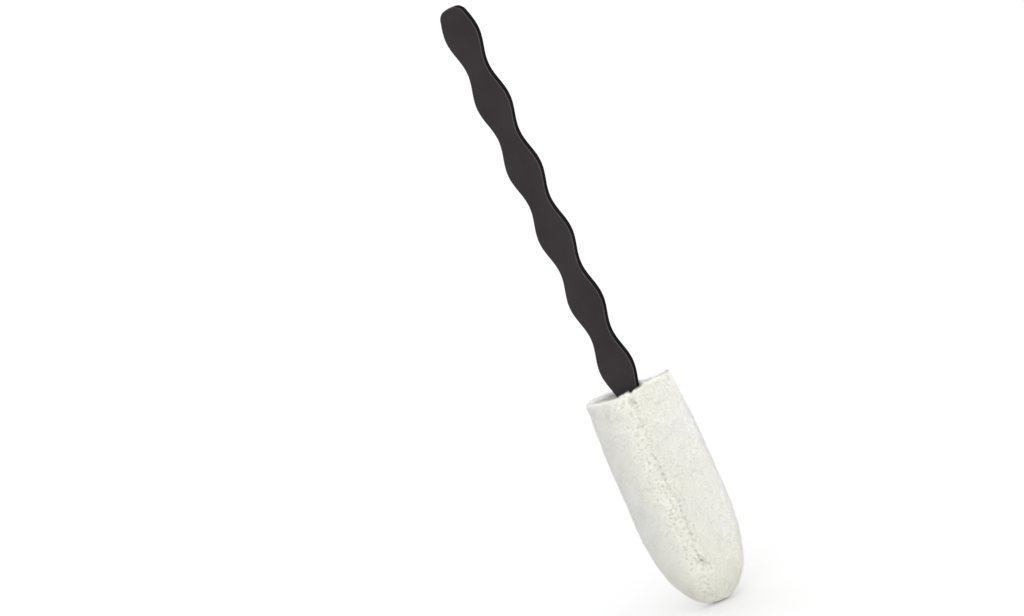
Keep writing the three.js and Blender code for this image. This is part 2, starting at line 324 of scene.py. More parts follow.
# ------------------------------------------------------------------ materials
class Look:
    """A Principled material and the few node calls that the materials below share."""

    def __init__(self, name, **sockets):
        self.material = bpy.data.materials.new(name)
        self.material.use_nodes = True
        self.tree = self.material.node_tree
        self.shader = self.tree.nodes["Principled BSDF"]
        for socket, value in sockets.items():
            self.shader.inputs[socket.replace("_", " ")].default_value = value

    def node(self, kind, **settings):
        made = self.tree.nodes.new("ShaderNode" + kind)
        for key, value in settings.items():
            setattr(made, key, value)
        return made

    def join(self, source, target):
        self.tree.links.new(source, target)

    def place(self, stretch=(1, 1, 1)):
        """The point on the object, in metres, stretched for a directional pattern."""
        where = self.node("TexCoord")
        scale = self.node("Mapping")
        scale.inputs["Scale"].default_value = stretch
        self.join(where.outputs["Object"], scale.inputs["Vector"])
        return scale.outputs["Vector"]

    def noise(self, size, detail=3, stretch=(1, 1, 1)):
        """Soft noise whose features are about this size, in metres."""
        made = self.node("TexNoise")
        made.inputs["Scale"].default_value = 1 / size
        made.inputs["Detail"].default_value = detail
        self.join(self.place(stretch), made.inputs["Vector"])
        return made.outputs["Fac"]

    def voronoi(self, size):
        made = self.node("TexVoronoi")
        made.inputs["Scale"].default_value = 1 / size
        self.join(self.place(), made.inputs["Vector"])
        return made.outputs["Distance"]

    def bands(self, direction, size):
        """Slightly wavering bands across X or Z."""
        made = self.node("TexWave", wave_type="BANDS", bands_direction=direction)
        made.inputs["Scale"].default_value = 1 / size
        made.inputs["Distortion"].default_value = 1.2
        self.join(self.place(), made.inputs["Vector"])
        return made.outputs["Fac"]

    def number(self, name):
        """A number that the mesh stores for each of its points."""
        return self.node("Attribute", attribute_name=name).outputs["Fac"]

    def fit(self, value, low, high, to_low=0.0, to_high=1.0):
        """Stretches a value's range to another one, and stays within it."""
        made = self.node("MapRange")
        made.inputs["From Min"].default_value = low
        made.inputs["From Max"].default_value = high
        made.inputs["To Min"].default_value = to_low
        made.inputs["To Max"].default_value = to_high
        self.join(value, made.inputs["Value"])
        return made.outputs["Result"]

    def maths(self, operation, a, b):
        made = self.node("Math", operation=operation)
        self.join(a, made.inputs[0])
        self.join(b, made.inputs[1])
        return made.outputs["Value"]

    def blend(self, share, first, second):
        """A colour between two, each a colour or another node's output."""
        made = self.node("Mix", data_type="RGBA")
        self.join(share, made.inputs["Factor"])
        for socket, value in ((made.inputs[6], first), (made.inputs[7], second)):
            if isinstance(value, tuple):
                socket.default_value = (*value, 1)
            else:
                self.join(value, socket)
        return made.outputs[2]

    def bump(self, height, depth, strength=1.0, after=None):
        made = self.node("Bump")
        made.inputs["Strength"].default_value = strength
        made.inputs["Distance"].default_value = depth
        self.join(height, made.inputs["Height"])
        if after is not None:
            self.join(after, made.inputs["Normal"])
        return made.outputs["Normal"]

    def soften(self, share, reach):
        """Lets light pass this far through, as it does between fine fibres."""
        self.shader.inputs["Subsurface Weight"].default_value = share
        self.shader.inputs["Subsurface Radius"].default_value = (1, 1, 1)
        self.shader.inputs["Subsurface Scale"].default_value = reach

    def finish(self, colour=None, roughness=None, normal=None):
        linked = (("Base Color", colour), ("Roughness", roughness), ("Normal", normal))
        for socket, value in linked:
            if value is not None:
                self.join(value, self.shader.inputs[socket])
        return self.material


def charcoal_plastic(name, dark, light, shine):
    """Moulded plastic: a fine satin grain, faint rub marks along the blade, paler edges, partly
    worn and partly a painted highlight.
    """
    look = Look(name, Specular_IOR_Level=shine)
    along_blade = (1, 1, 0.04)
    tone = look.fit(look.noise(22 * MM, 2), 0.35, 0.65)
    base = look.blend(tone, dark, light)
    rubs = look.fit(look.noise(0.55 * MM, 4, along_blade), 0.60, 0.74, 0, 0.35)
    rubbed = look.blend(rubs, base, tuple(1.9 * value for value in light))
    patchy = look.fit(look.noise(2.4 * MM, 4), 0.35, 0.62, 0.45, 0.9)
    # Paler along the arris: partly wear, partly a painted highlight where the rounded edge would
    # catch light.
    wear_and_highlight = look.maths("MULTIPLY", look.number("edge"), patchy)
    worn_and_highlit = look.blend(wear_and_highlight, rubbed, (0.085, 0.079, 0.082))
    rough = look.fit(look.noise(6 * MM, 4), 0.3, 0.7, 0.46, 0.6)
    grain = look.bump(look.noise(0.28 * MM, 3), 0.02 * MM, 0.8)
    marks = look.bump(look.noise(0.5 * MM, 4, along_blade), 0.015 * MM, 0.6, grain)
    return look.finish(worn_and_highlit, rough, marks)


# The colour that painted shade darkens the nap's pits and the fibres' roots towards; the fibres'
# random tint leans to it too.
PAINTED_SHADE_AND_TINT = (0.66, 0.64, 0.54)


def fleece_look(name, roughness, sheen, sheen_roughness):
    """A dull fabric with a sheen, as fine fibres have."""
    look = Look(name, Roughness=roughness, Sheen_Weight=sheen, Specular_IOR_Level=0.2)
    look.shader.inputs["Sheen Roughness"].default_value = sheen_roughness
    return look


def fleece_cream(look, first, second, warm):
    """Patches of two near-whites, and a warmer one where the fleece has yellowed; that one is also
    a little lighter, painted light against the shade on the downward-facing tip.
    """
    patches = look.fit(look.noise(16 * MM, 3), 0.38, 0.62)
    return look.blend(look.number("warm"), look.blend(patches, first, second), warm)


def fleece_nap():
    """Cream-white nap: patches a little warmer or cooler, specks of painted fibre shade that show
    most where it has yellowed, and painted shade in its pits."""
    look = fleece_look("fleece_nap", 0.92, 0.35, 0.45)
    look.soften(0.5, 0.4 * MM)
    # The warm colour is yellower, and a little lighter as painted light against the tip's shade.
    base = fleece_cream(look, (0.945, 0.94, 0.88), (0.94, 0.94, 0.915), (0.97, 0.965, 0.868))
    # Specks of painted shade standing for the fibres' shadows, heavier where the fleece has
    # yellowed.
    fibre_shade_specks = look.fit(look.noise(0.5 * MM, 3), 0.48, 0.70, 0, 0.6)
    where_warm = look.fit(look.number("warm"), 0, 0.6, 0.3, 1)
    share = look.maths("MULTIPLY", fibre_shade_specks, where_warm)
    fibre_shaded = look.blend(share, base, (0.77, 0.755, 0.68))
    # Painted shade in the pits.
    deep = look.blend(look.number("depth"), fibre_shaded, PAINTED_SHADE_AND_TINT)
    curl = look.bump(look.noise(0.4 * MM, 3), 0.2 * MM, 0.8)
    return look.finish(deep, None, curl)


def fleece_strands():
    """Single fibres: whiter than the nap they stand in, with painted shade towards their roots."""
    look = fleece_look("fleece_strands", 0.9, 0.4, 0.5)
    look.soften(0.7, 0.3 * MM)
    # The warm colour is yellower, and a little lighter as painted light against the tip's shade.
    base = fleece_cream(look, (0.965, 0.96, 0.91), (0.96, 0.96, 0.94), (0.98, 0.975, 0.888))
    # Painted shade towards the roots, over each fibre's random tint.
    return look.finish(look.blend(look.number("depth"), base, PAINTED_SHADE_AND_TINT))


def knit_backing():
    """The inside of the fleece: fine knitted ribs with a cross thread, and painted shade in the
    hollows between the loops.
    """
    look = Look("knit_backing", Roughness=0.9, Sheen_Weight=0.15, Specular_IOR_Level=0.2)
    patches = look.fit(look.noise(9 * MM, 3), 0.35, 0.65)
    base = look.blend(patches, (0.83, 0.82, 0.77), (0.88, 0.875, 0.84))
    loops = look.maths("MULTIPLY", look.bands("X", 3.2 * MM), look.bands("Z", 2.4 * MM))
    # Darker in the hollows between the loops: painted shade.
    shaded_between_loops = look.blend(look.fit(loops, 0.0, 0.4), (0.66, 0.65, 0.60), base)
    return look.finish(shaded_between_loops, None, look.bump(loops, 0.25 * MM, 0.8))


def open_cell_foam():
    """Charcoal foam, cut across its open cells, with painted shade near black in the pores."""
    look = Look("open_cell_foam", Roughness=0.95, Specular_IOR_Level=0.15)
    large = look.fit(look.voronoi(0.9 * MM), 0.05, 0.55)
    small = look.fit(look.voronoi(0.4 * MM), 0.05, 0.6)
    patches = look.fit(look.noise(7 * MM, 3), 0.35, 0.65)
    base = look.blend(patches, (0.115, 0.112, 0.108), (0.155, 0.15, 0.145))
    # Near black in the middle of each open cell: painted shade in the pores.
    cut = look.blend(look.maths("MULTIPLY", large, small), (0.03, 0.03, 0.03), base)
    return look.finish(cut, None, look.bump(look.maths("ADD", large, small), 0.3 * MM, 0.9))


def sewing_thread():
    """Off-white spun thread with a dull lustre and a little lint."""
    look = Look("sewing_thread", Roughness=0.62, Sheen_Weight=0.25, Specular_IOR_Level=0.35)
    tone = look.fit(look.noise(2.2 * MM, 3), 0.35, 0.65)
    base = look.blend(tone, (0.79, 0.78, 0.71), (0.87, 0.865, 0.80))
    return look.finish(base, None, look.bump(look.noise(0.12 * MM, 3), 0.04 * MM, 0.8))


def pale_floor():
    """Pale grey, very slightly uneven."""
    look = Look("pale_floor", Roughness=0.75, Specular_IOR_Level=0.15)
    tone = look.fit(look.noise(0.4, 2), 0.3, 0.7)
    return look.finish(look.blend(tone, (0.79, 0.79, 0.79), (0.80, 0.80, 0.80)))


# ------------------------------------------------------------------ the sleeve's smooth form
def neck(z):
    """0 up the sleeve's body, 1 at its mouth."""
    return smooth((z - NECK_START) / (MOUTH_Z - NECK_START))


def half_width(z, inset):
    body = HALF_WIDTH + (MOUTH_HALF_WIDTH - HALF_WIDTH) * neck(z) - inset
    into = np.clip((TIP_LENGTH - z) / (TIP_LENGTH - inset), 0, 1)
    return body * (1 - into**TIP_FULLNESS) ** (1 / TIP_FULLNESS)


def pinch(z):
    """0 below the mouth's last stretch, 1 at the rim, where the +X side closes to a corner."""
    return smooth((z - (MOUTH_Z - PINCH_LENGTH)) / PINCH_LENGTH)


def pinched(x, z):
    """The share of its thickness that the sleeve has at a place across and up."""
    closed = PINCH_LOSS * pinch(z) * smooth(x / HALF_WIDTH)
    opened = OPEN_GAIN * pinch(z) * smooth(-x / HALF_WIDTH)
    return 1 - closed + opened


def half_thickness(z, inset):
    body = HALF_THICKNESS + (MOUTH_HALF_THICKNESS - HALF_THICKNESS) * neck(z) - inset
    into = np.clip((TIP_NOSE - z) / (TIP_NOSE - inset), 0, 1)
    return body * np.sqrt(1 - into**2)


def ring_heights(rows, inset):
    """Heights from the mouth to just above the tip, evenly spaced down the side's outline."""
    turn = np.linspace(math.pi / 2, 0, OUTLINE_STEPS)
    side = np.linspace(MOUTH_Z, TIP_LENGTH, OUTLINE_STEPS)
    z = np.concatenate([side, TIP_LENGTH - (TIP_LENGTH - inset) * np.cos(turn)[1:]])
    run = running_length(half_width(z, inset), z)
    wanted = np.linspace(0, run[-1], rows + 1)[:-1]
    return np.interp(wanted, run, z)


def sleeve_ring(z, around, inset):
    """One ring, its points evenly spaced round it, the first one on the front seam.
    The mouth is pinched to a sharp corner on +X and more open on -X."""
    turn = np.linspace(0, 2 * math.pi, 4 * QUARTER_STEPS + 1) - math.pi / 2
    c, s = np.cos(turn), np.sin(turn)
    power = np.where(c > 0, RING_POWER - CORNER_CUT * pinch(z), RING_POWER)
    x = np.sign(c) * half_width(z, inset) * np.abs(c) ** (2 / power)
    y = np.sign(s) * half_thickness(z, inset) * np.abs(s) ** (2 / power)
    y = y * pinched(x, z)
    run = running_length(x, y)
    seam = min(SEAM_X, 0.5 * half_width(z, inset))
    start = np.interp(seam, x[:QUARTER_STEPS], run[:QUARTER_STEPS])
    wanted = (start + np.arange(around) * run[-1] / around) % run[-1]
    return np.stack([np.interp(wanted, run, x), np.interp(wanted, run, y), np.full(around, z)], 1)


def rim_height(t, rim):
    """How high the cut rim stands, in mm, as t goes from -1 to 1 across the mouth."""
    level, bow, tilt, step, start, length = rim
    return level + bow * t**2 + tilt * t + step * smooth((t - start) / length) * (1 - t)


def set_form(grid):
    """The made form's small liberties: the tip leans to -X, and the cut rim isn't level and has
    a notch in its front, where the seam ends."""
    x, y, z = grid[..., 0], grid[..., 1], grid[..., 2]
    lean = MOUTH_SHIFT - TIP_LEAN * np.clip(1 - z / MOUTH_Z, 0, 1) ** LEAN_CURVE
    lean = lean - NECK_BEND * smooth((MOUTH_Z - z) / NECK_BEND_LENGTH)
    near_rim = smooth((z - (MOUTH_Z - RIM_REACH)) / RIM_REACH)
    t = x / MOUTH_HALF_WIDTH
    front = smooth(0.5 - y / (2 * MOUTH_HALF_THICKNESS))
    wavy = 0.22 * np.sin(x / (3.6 * MM) + 1.0) + 0.12 * np.sin(x / (1.7 * MM) + y / (2 * MM))
    notch = NOTCH_DEPTH * bell(x - SEAM_X - NOTCH_ASIDE, NOTCH_WIDTH) * (y < 0)
    rise = rim_height(t, FRONT_RIM) * front + rim_height(t, BACK_RIM) * (1 - front) + wavy - notch
    return np.stack([x + lean, y, z + near_rim * rise * MM], -1)


def smooth_sleeve(rows, around):
    """The cover before it swells, thinner than it will be."""
    rings = np.stack([sleeve_ring(z, around, NAP) for z in ring_heights(rows, NAP)])
    rings[..., 1] *= 1 - PUFF_ROOM / HALF_THICKNESS
    return set_form(rings)


# ------------------------------------------------------------------ cloth: the cover swells
def seam_share(z):
    """1 along the sewn seam, fading out past its ends."""
    rise = smooth((z - (TIP_TACK_LOW.z - 2 * MM)) / (4 * MM))
    return rise * smooth((MOUTH_Z - z) / (2 * MM))


def held_weights(rest):
    """How firmly each point is held while the cover swells: its rim and tip fully, its seam
    and sides partly, so that it bulges between them."""
    held = HELD_LOOSELY + HELD_SIDES * (rest[..., 0] / HALF_WIDTH) ** 4
    held = np.maximum(held, 1 - rest[..., 2] / HELD_TIP_LENGTH)
    held[0] = 1.0
    held[:, 0] = np.maximum(held[:, 0], HELD_SEAM * seam_share(rest[:, 0, 2]))
    return [*held.ravel(), 1.0, 1.0]


def run_cloth(points, faces, weights):
    """Swells a closed bag under pressure and returns where its points end up. The bag and its
    Cloth are then deleted."""
    scene = bpy.context.scene
    mesh = bpy.data.meshes.new("cover_cloth")
    mesh.from_pydata((points * CLOTH_SCALE).tolist(), [], faces)
    bag = bpy.data.objects.new("cover_cloth", mesh)
    scene.collection.objects.link(bag)
    group = bag.vertex_groups.new(name="held")
    for index, weight in enumerate(weights):
        group.add([index], float(weight), "REPLACE")
    cloth = bag.modifiers.new("cloth", "CLOTH")
    for name, value in CLOTH_SETTINGS.items():
        setattr(cloth.settings, name, value)
    cloth.settings.effector_weights.gravity = 0
    cloth.point_cache.frame_end = CLOTH_STEPS
    for step in range(1, CLOTH_STEPS + 1):
        scene.frame_set(step)
    made = bag.evaluated_get(bpy.context.evaluated_depsgraph_get())
    places = np.empty(len(points) * 3)
    made.data.vertices.foreach_get("co", places)
    scene.frame_set(1)
    bpy.data.objects.remove(bag)
    return places.reshape(-1, 3) / CLOTH_SCALE


def without_creases(moved):
    """The same movement with its finest creases averaged out."""
    for _ in range(CREASE_BLURS):
        beside = np.roll(moved, 1, 1) + np.roll(moved, -1, 1)
        above = np.concatenate([moved[:1], moved[:-1]])
        below = np.concatenate([moved[1:], moved[-1:]])
        moved = (2 * moved + beside + above + below) / 6
    return moved


def swell(rest):
    """Swells the sewn cover like a stuffed bag and returns how far each point moved, outward
    and sideways, each up to a limit and without the finest creases."""
    rows, around = rest.shape[:2]
    pole = rest[-1].mean(0) - (0, 0, 0.4 * MM)
    points = np.concatenate([rest.reshape(-1, 3), [rest[0].mean(0), pole]])
    places = run_cloth(points, turned_over(loft_faces(rows, around)), held_weights(rest))
    moved = places[: rows * around].reshape(rest.shape) - rest
    out = normals_of(rest)
    swollen = np.sum(moved * out, axis=2, keepdims=True)
    slid = moved - out * swollen
    reach = np.linalg.norm(slid, axis=2, keepdims=True)
    slid = slid * np.minimum(1, MOST_SLIDE / np.maximum(reach, 1e-9))
    return without_creases(out * np.clip(swollen, -MOST_SINK, MOST_SWELL) + slid)


def cover_surface():
    """The cover's swollen smooth surface, before its seam and nap."""
    rest = smooth_sleeve(ROWS, AROUND)
    coarse = smooth_sleeve(COARSE_ROWS, COARSE_AROUND)
    return rest + resample(swell(coarse), ROWS, AROUND)


# ------------------------------------------------------------------ fleece cover and its pile
def seam_wander(z):
    """How far the hand-guided seam strays to the side at a height: more to +X lower down."""
    drift = 1.5 * MM * smooth((MOUTH_Z - z) / (60 * MM))
    return drift + 0.75 * MM * np.sin(z / (7.5 * MM) + 0.8) + 0.35 * MM * np.sin(z / (2.9 * MM))


def lumps(points):
    """Soft unevenness of washed fleece over foam, a few millimetres across."""
    x, y, z = points[..., 0] / MM, points[..., 1] / MM, points[..., 2] / MM
    wide = np.sin(z / 3.1 + 1.3 * np.sin(x / 4.7) + y / 3.9)
    wide = wide * np.sin(x / 3.6 + 0.9 * np.sin(z / 5.3) - y / 4.4)
    small = np.sin(z / 1.3 + np.sin(x / 2.1 + 2)) * np.sin(x / 1.5 + np.sin(z / 1.9) + y / 1.7)
    return (WIDE_LUMP * wide + SMALL_LUMP * small) * MM


def tack_pit(across, up):
    """The pucker round a tack, with five soft creases: 1 in its middle."""
    away = np.hypot(across / TACK_PIT_WIDTH, up / TACK_PIT_HEIGHT)
    creases = 1 + 0.35 * np.cos(5 * np.arctan2(up, across) + 0.6) * smooth(away)
    return np.exp(-((away * creases) ** 2))


def seam_dip(grid):
    """How deep the stitches and tacks pull each point in."""
    x, y, z = grid[..., 0], grid[..., 1], grid[..., 2]
    across = x - grid[:, :1, 0] - seam_wander(z)
    along = (z - SEAM_LOW.z) / PITCH
    uneven = np.sin(1.7 * np.round(along)) * np.sin(2.9 * np.round(along) + 1)
    at_stitch = (0.5 + 0.5 * np.cos(2 * math.pi * along)) ** 2 * (0.6 + 0.4 * uneven)
    groove = SEAM_GROOVE * bell(across, SEAM_GROOVE_WIDTH)
    dip = seam_share(z) * (groove + STITCH_PIT * at_stitch * bell(across, STITCH_PIT_WIDTH))
    for low, high, deep in TACK_PITS:
        dip = dip + deep * tack_pit(across, z - (low.z + high.z) / 2)
    return np.where(y < 0, dip, 0)


def warmth(points):
    """Where the fleece has yellowed a little and is painted slightly lighter: along the front seam
    and at the tip.
    """
    along_seam = bell(points[:, 0] - SEAM_X, 13 * MM) * (points[:, 1] < 0)
    return np.clip(0.55 * along_seam + 0.75 * smooth(1 - points[:, 2] / (42 * MM)), 0, 1)


def nap_height(points, near_seam):
    """How far the nap's clumps and pits lift each point, and how much painted shade it gets in a
    pit. The pits are larger and deeper near the seam."""
    wander = [np.sin(points[:, (k + 1) % 3] / CLUMP_WANDER_WAVE + 2 * k) for k in range(3)]
    warped = points + CLUMP_WANDER * np.stack(wander, 1)
    big, _ = cells(warped, CLUMP, 3)
    fine, _ = cells(warped, FINE_CLUMP, 5)
    clump = CLUMP_HEIGHT * bell(big, 0.6) + FINE_CLUMP_HEIGHT * bell(fine, 0.6)
    sparse, _ = cells(points, PIT_SPACING, 9)
    pit = bell(sparse, 0.14 + 0.16 * near_seam) * (0.2 + 0.8 * near_seam)
    # The second value is the share of painted shade: a little everywhere, most in the pits.
    return clump - CLUMP_HEIGHT - PIT_DEPTH * pit, 0.06 + 0.74 * pit


def rim_roll(outer, inner):
    """The roll over the rim, half an ellipse from the outside to the inside, as rings and
    their outward directions, the innermost first."""
    across = (inner - outer) / 2
    level = across / np.linalg.norm(across, axis=1, keepdims=True)
    turns = np.linspace(0, math.pi, RIM_ROWS + 2)[-2:0:-1]
    rings = [outer + across * (1 - math.cos(a)) + (0, 0, ROLL * math.sin(a)) for a in turns]
    out = [(0, 0, math.sin(a)) - level * math.cos(a) for a in turns]
    return np.stack(rings), np.stack(out)


def fleece_shell(inner, outer, depth, pile, backing):
    """Joins the cover's inside and outside into one closed piece, and gives the inside its
    knitted backing."""
    rings = np.concatenate([inner[::-1], outer])
    inner_pole = inner[-1].mean(0) - (0, 0, 0.6 * MM)
    outer_pole = outer[-1].mean(0) - (0, 0, 0.25 * MM)
    points = np.concatenate([rings.reshape(-1, 3), [inner_pole, outer_pole]])
    faces = turned_over(loft_faces(len(rings), AROUND))
    piece = new_piece("fleece_shell", points, faces, "sleeve", pile, backing)
    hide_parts("fleece_cover")
    inside = len(inner) * AROUND
    # How much painted shade the nap gets at each point.
    give(piece, "depth", np.concatenate([np.full(inside, 0.15), depth, [0.15, 0.2]]))
    give(piece, "warm", warmth(points))
    backs = np.zeros(len(faces), np.int32)
    backs[:inside] = 1
    quads = (len(rings) - 1) * AROUND
    backs[quads : quads + AROUND] = 1
    piece.data.polygons.foreach_set("material_index", backs)


def fleece_cover(pile, backing):
    """The whole wall: nap outside, soft rolled rim, knitted back inside. Returns its outside,
    the outward directions there, and how near the seam each point is."""
    swollen = cover_surface()
    shaped = lumps(swollen) - seam_dip(swollen)
    dipped = swollen + normals_of(swollen) * shaped[..., None]
    outward = normals_of(dipped)
    keep = np.unique(np.linspace(1, ROWS - INNER_END, INNER_ROWS).astype(int))
    inner = (dipped - outward * WALL)[keep]
    rim, rim_out = rim_roll(dipped[0], inner[0])
    napped = np.concatenate([rim, dipped])
    napped_out = np.concatenate([rim_out, outward])
    across = napped[..., 0] - napped[:, :1, 0]
    near_seam = np.where(napped[..., 1] < 0, bell(across + 2 * MM, 8 * MM), 0.0)
    height, depth = nap_height(napped.reshape(-1, 3), near_seam.ravel())
    lifted = napped + napped_out * height.reshape(*near_seam.shape, 1)
    fleece_shell(inner, lifted, depth, pile, backing)
    return lifted, napped_out, near_seam


def fibres(name, root, out, lean, length, look):
    """Curved, tapered fibres that rise and then bend over, each a closed three-sided spike."""
    count = len(root)
    side = np.cross(out, rng.normal(size=(count, 3)))
    side /= np.linalg.norm(side, axis=1, keepdims=True)
    other = np.cross(out, side)
    length = length[:, None]
    start = root - out * FIBRE_ROOT
    middle = root + out * length * 0.52 + lean * length * 0.20
    tip = root + out * length * 0.76 + lean * length * 0.80
    points = np.empty((count, 7, 3))
    for k in range(3):
        a = 2 * math.pi * k / 3
        ray = math.cos(a) * side + math.sin(a) * other
        points[:, k] = start + ray * FIBRE_RADIUS
        points[:, 3 + k] = middle + ray * FIBRE_RADIUS * 0.8
    points[:, 6] = tip
    base = np.arange(count)[:, None, None] * 7
    quads = base + np.array([[0, 1, 4, 3], [1, 2, 5, 4], [2, 0, 3, 5]])
    tris = base + np.array([[2, 1, 0], [3, 4, 6], [4, 5, 6], [5, 3, 6]])
    faces = [*quads.reshape(-1, 4).tolist(), *tris.reshape(-1, 3).tolist()]
    piece = new_piece(name, points.reshape(-1, 3), faces, "sleeve", look)
    tint = np.clip(rng.normal(0.08, 0.08, count), 0, 0.4)
    # Painted shade towards each fibre's root, added to a random tint.
    shade = np.stack([tint + 0.12] * 3 + [tint + 0.03] * 3 + [tint * 0.6], 1)
    give(piece, "depth", shade)
    give(piece, "warm", np.repeat(warmth(root), 7))


def grow_pile(surface, outward, near_seam, look):
    """Bands of fibres from the rim to the tip, equally dense. Each fibre leans its own way and
    a little to the heart of its clump, as the nap of a washed fleece does."""
    step_v = np.linalg.norm(np.gradient(surface, axis=0), axis=2)
    step_u = np.linalg.norm(np.roll(surface, -1, 1) - surface, axis=2)
    run = np.cumsum((step_v * step_u).ravel())
    for band in range(PILE_BANDS):
        low, high = np.searchsorted(run, np.array([band, band + 1]) / PILE_BANDS * run[-1])
        even = (np.arange(PILE_COUNT) + rng.random(PILE_COUNT)) / PILE_COUNT
        pick = np.searchsorted(run, run[low] + even * (run[high - 1] - run[low]))
        v, u = pick // AROUND, pick % AROUND
        beside = surface[v, (u + 1) % AROUND]
        below = surface[np.minimum(v + 1, len(surface) - 1), u]
        a, b = rng.random((2, PILE_COUNT, 1))
        root = surface[v, u] * (1 - a - b) + beside * a + below * b
        out = outward[v, u] + rng.normal(0, 0.15, (PILE_COUNT, 3))
        _, heart = cells(root, CLUMP, 3)
        lean = (heart - root) / (4 * MM) + rng.normal(0, 0.75, (PILE_COUNT, 3))
        lean -= out * np.sum(lean * out, axis=1, keepdims=True)
        length = rng.uniform(FIBRE_SHORTEST, FIBRE_LONGEST, PILE_COUNT) * MM
        length *= 1 - 0.25 * near_seam[v, u]
        length *= 0.3 + 0.7 * smooth(root[:, 2] / TIP_WEAR)
        fibres(f"pile_{band + 1}", root, out, lean, length, look)


# ------------------------------------------------------------------ stitches
def nearest_ring(grid, z):
    """The ring that crosses the seam nearest to this height."""
    return grid[np.argmin(np.abs(grid[:, 0, 2] - z))]


def front_depth(grid, z, x):
    """Y of the front surface at a height and a place across."""
    ring = nearest_ring(grid, z)
    front = ring[ring[:, 1] < 0]
    order = np.argsort(front[:, 0])
    return float(np.interp(x, front[order, 0], front[order, 1]))


def seam_stitches(outer, look):
    """A row of lockstitches, each a short twisted thread that dives in at both ends."""
    paths = []
    for k in range(STITCHES):
        t = np.linspace(0, 1, 15)
        z = SEAM_LOW.z + PITCH * (k + 0.06 + 0.88 * t)
        middle = z[len(t) // 2]
        centre = nearest_ring(outer, middle)[0, 0]
        level = front_depth(outer, middle, centre + seam_wander(middle))
        y = level + 0.08 * MM + 1.4 * MM * (2 * t - 1) ** 4
        path = np.stack([centre + seam_wander(z), y, z], 1)
        paths += twisted(path, SEAM_THREAD, SEAM_TWIST)
    points, faces = tubes(paths, SEAM_STRAND)
    piece = new_piece("seam_stitches", points, faces, "sleeve", look)
    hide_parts("centre_seam_thread")


def tack_stitches(name, node, outer, look):
    """A bar of close stitches laid across the end of the seam."""
    low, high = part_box(node)
    middle = (low.z + high.z) / 2
    centre = nearest_ring(outer, middle)[0, 0] + seam_wander(middle)
    half = (high.x - low.x) / 2
    paths = []
    for k in range(TACK_PASSES):
        level = low.z + (high.z - low.z) * (k + 0.5) / TACK_PASSES
        t = np.linspace(-1, 1, 17)
        x = centre + half * t
        z = level + 0.18 * MM * t * (-1) ** k
        surface = np.array([front_depth(outer, level, place) for place in x])
        y = surface - 0.02 * MM + 0.9 * MM * np.abs(t) ** 5
        paths += twisted(np.stack([x, y, z], 1), TACK_THREAD, TACK_TWIST)
    points, faces = tubes(paths, TACK_STRAND)
    piece = new_piece(name, points, faces, "sleeve", look)
    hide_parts(node)


def end_seam(look):
    """The hidden row of stitches that closes the round tip from inside."""
    low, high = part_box("end_seam_thread")
    reach_x = ((high.x - low.x) / 2 - SEAM_THREAD) / math.sin(END_SWEEP)
    reach_z = END_CENTRE - low.z - SEAM_THREAD
    paths = []
    for k in range(END_STITCHES):
        t = np.linspace(0, 1, 13)
        turn = 2 * END_SWEEP * (k + 0.08 + 0.84 * t) / END_STITCHES - END_SWEEP
        y = 0.55 * MM * np.sin(math.pi * t) * (-1) ** k
        path = np.stack([reach_x * np.sin(turn), y, END_CENTRE - reach_z * np.cos(turn)], 1)
        paths += twisted(path, SEAM_THREAD, SEAM_TWIST)
    points, faces = tubes(paths, SEAM_STRAND)
    piece = new_piece("end_seam_stitches", points, faces, "sleeve", look)
    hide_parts("end_seam_thread")


# ------------------------------------------------------------------ foam pads
def foam_thickness(x, z, flat_y, front):
    """How thick a pad is at each place, from its flat side to the inside of the cover."""
    share = np.clip(np.abs(x) / half_width(z, FOAM_INSET), 0, 1)
    level = half_thickness(z, FOAM_INSET) * (1 - share**RING_POWER) ** (1 / RING_POWER)
    level = level * pinched(x, z) - CORNER_EASE * pinch(z) * (x > 0) * x / HALF_WIDTH
    if front:
        level = level - FOAM_GROOVE * seam_share(z) * bell(x - SEAM_X, FOAM_GROOVE_WIDTH)
    return np.maximum(level - abs(flat_y), FOAM_LEAST)


def foam_pad(node, look):
    """A skived foam sheet, flat to the blade and crowned to the cover, with cut open cells."""
    low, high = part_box(node)
    front = low.y < 0
    flat_y, side = (high.y, -1) if front else (low.y, 1)
    z = low.z + (high.z - low.z) * np.linspace(0, 1, FOAM_ROWS)
    from_middle = (z - (low.z + high.z) / 2) / ((high.z - low.z) / 2)
    wide = half_width(z, FOAM_INSET) * FOAM_WIDTH_SHARE
    wide *= np.sqrt(np.clip(1 - from_middle**24, 0.05, 1))
    skived = np.minimum(smooth((z - low.z) / (2.2 * MM)), smooth((high.z - z) / (1.0 * MM)))
    t = np.linspace(-1, 1, FOAM_ACROSS)
    x, z = np.broadcast_arrays(wide[:, None] * t, z[:, None])
    thick = foam_thickness(x, z, flat_y, front) * (0.35 + 0.65 * skived[:, None])
    edge = np.sqrt(np.clip(1 - np.abs(t) ** 14, 0, 1))
    upper = np.stack([x, side * (abs(flat_y) + thick * (0.5 + 0.5 * edge)), z], 2)
    lower = np.stack([x, side * (abs(flat_y) + thick * (0.5 - 0.5 * edge)), z], 2)
    grid = np.concatenate([upper, lower[:, -2:0:-1]], 1)
    if front:
        grid = grid[:, ::-1]
    pores, _ = cells(grid.reshape(-1, 3), FOAM_PORE, 31)
    dent = FOAM_PORE_DEPTH * bell(pores, 0.42).reshape(grid.shape[:2])
    grid = grid - normals_of(grid) * dent[..., None]
    points = np.concatenate([grid.reshape(-1, 3), [grid[0].mean(0), grid[-1].mean(0)]])
    faces = turned_over(loft_faces(FOAM_ROWS, grid.shape[1]))
    piece = new_piece(node + "_foam", points, faces, "sleeve", look)
    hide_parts(node)


